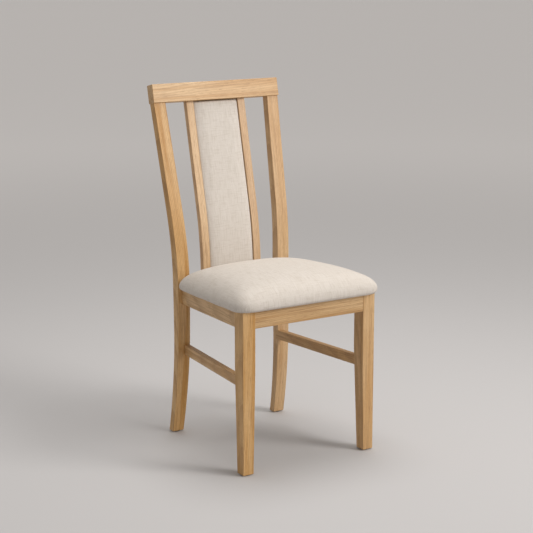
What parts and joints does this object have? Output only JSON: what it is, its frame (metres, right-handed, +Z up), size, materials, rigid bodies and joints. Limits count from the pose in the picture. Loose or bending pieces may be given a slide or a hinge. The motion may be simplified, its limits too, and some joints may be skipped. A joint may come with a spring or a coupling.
{
  "type": "dining chair",
  "caption": "High-backed oak dining chair with an upholstered drop-on seat, a padded central back panel between stiles, curved rear posts and side stretchers.",
  "frame": {"origin": "centre of the overall bounding box's footprint, on the floor plane under the glides", "axes": "+Z up; the seat's front edge and the back panel's face look along -Y; +X is to the right when the chair is looked at from the front"},
  "size_m": [0.457, 0.529, 0.9807],
  "materials": {
    "oak": "light oak under a satin clear lacquer, grain along each member",
    "linen": "plain-weave oatmeal linen blend, matt",
    "foam": "open-cell upholstery foam, hidden under the covers",
    "plywood": "birch plywood, unfinished",
    "beech": "plain beech, unfinished",
    "lining_cloth": "black non-woven lining cloth",
    "zinc_steel": "bright zinc plated",
    "glide_plastic": "dark brown nylon"
  },
  "bodies": {
    "root": {"back_panel_board": "plywood", "back_panel_cover": "linen", "back_panel_foam": "foam", "back_panel_rear_cover": "linen", "back_stile_left": "oak", "back_stile_right": "oak", "corner_block_front_left": "beech", "corner_block_front_right": "beech", "corner_block_rear_left": "beech", "corner_block_rear_right": "beech", "corner_block_screws": "zinc_steel", "cover_staples": "zinc_steel", "floor_glides": "glide_plastic", "front_leg_left": "oak", "front_leg_right": "oak", "front_rail": "oak", "rear_post_left": "oak", "rear_post_right": "oak", "rear_rail": "oak", "seat_board": "plywood", "seat_cover": "linen", "seat_dust_cloth": "lining_cloth", "seat_foam": "foam", "seat_screws": "zinc_steel", "side_rail_left": "oak", "side_rail_right": "oak", "side_stretcher_left": "oak", "side_stretcher_right": "oak", "top_rail": "oak"}
  },
  "joints": []
}
